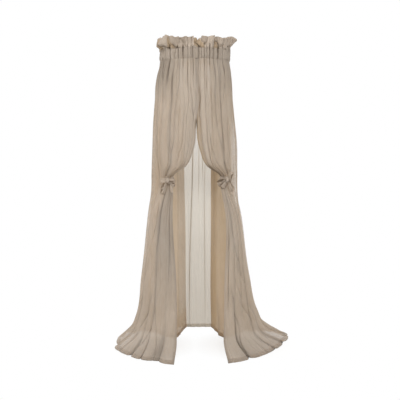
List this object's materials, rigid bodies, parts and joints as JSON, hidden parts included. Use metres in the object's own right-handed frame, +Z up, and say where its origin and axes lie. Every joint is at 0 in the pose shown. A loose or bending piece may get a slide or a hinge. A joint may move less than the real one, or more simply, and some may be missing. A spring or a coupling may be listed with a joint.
{
  "type": "bed crown canopy",
  "caption": "Gauze canopy that hangs over a bed's head from a D-shaped wall crown, with a ruffled heading, curtains tied back with bows and a sheer panel behind.",
  "frame": {"origin": "middle of the wall rail's back face, on the wall", "axes": "+Z up, +Y into the wall, so the room is towards -Y; +X to the right as seen from the room"},
  "size_m": [1.421, 0.7085, 2.414],
  "materials": {
    "gauze": "crinkled linen gauze, matt, partly see-through",
    "sheer": "light open-weave sheer, matt, see-through",
    "enamel": "off-white enamel on steel, satin",
    "steel": "zinc-plated steel, satin"
  },
  "bodies": {
    "wall_bracket": {"wall_rail": "enamel", "socket_left": "enamel", "socket_right": "enamel", "socket_bolt_1": "steel", "socket_bolt_2": "steel", "socket_bolt_3": "steel", "socket_bolt_4": "steel"},
    "crown": {"hoop": "enamel", "hoop_sleeve": "steel", "sleeve_screw_1": "steel", "sleeve_screw_2": "steel", "heading_left": "gauze", "heading_right": "gauze", "heading_back": "sheer", "curtain_left": "gauze", "curtain_right": "gauze", "back_panel": "sheer", "tie_left": "gauze", "tie_right": "gauze"}
  },
  "joints": [
    {"name": "crown_lift", "type": "slide", "parent": "wall_bracket", "child": "crown", "axis": [0, 0, 1], "range_m": [0, 0.05]}
  ]
}
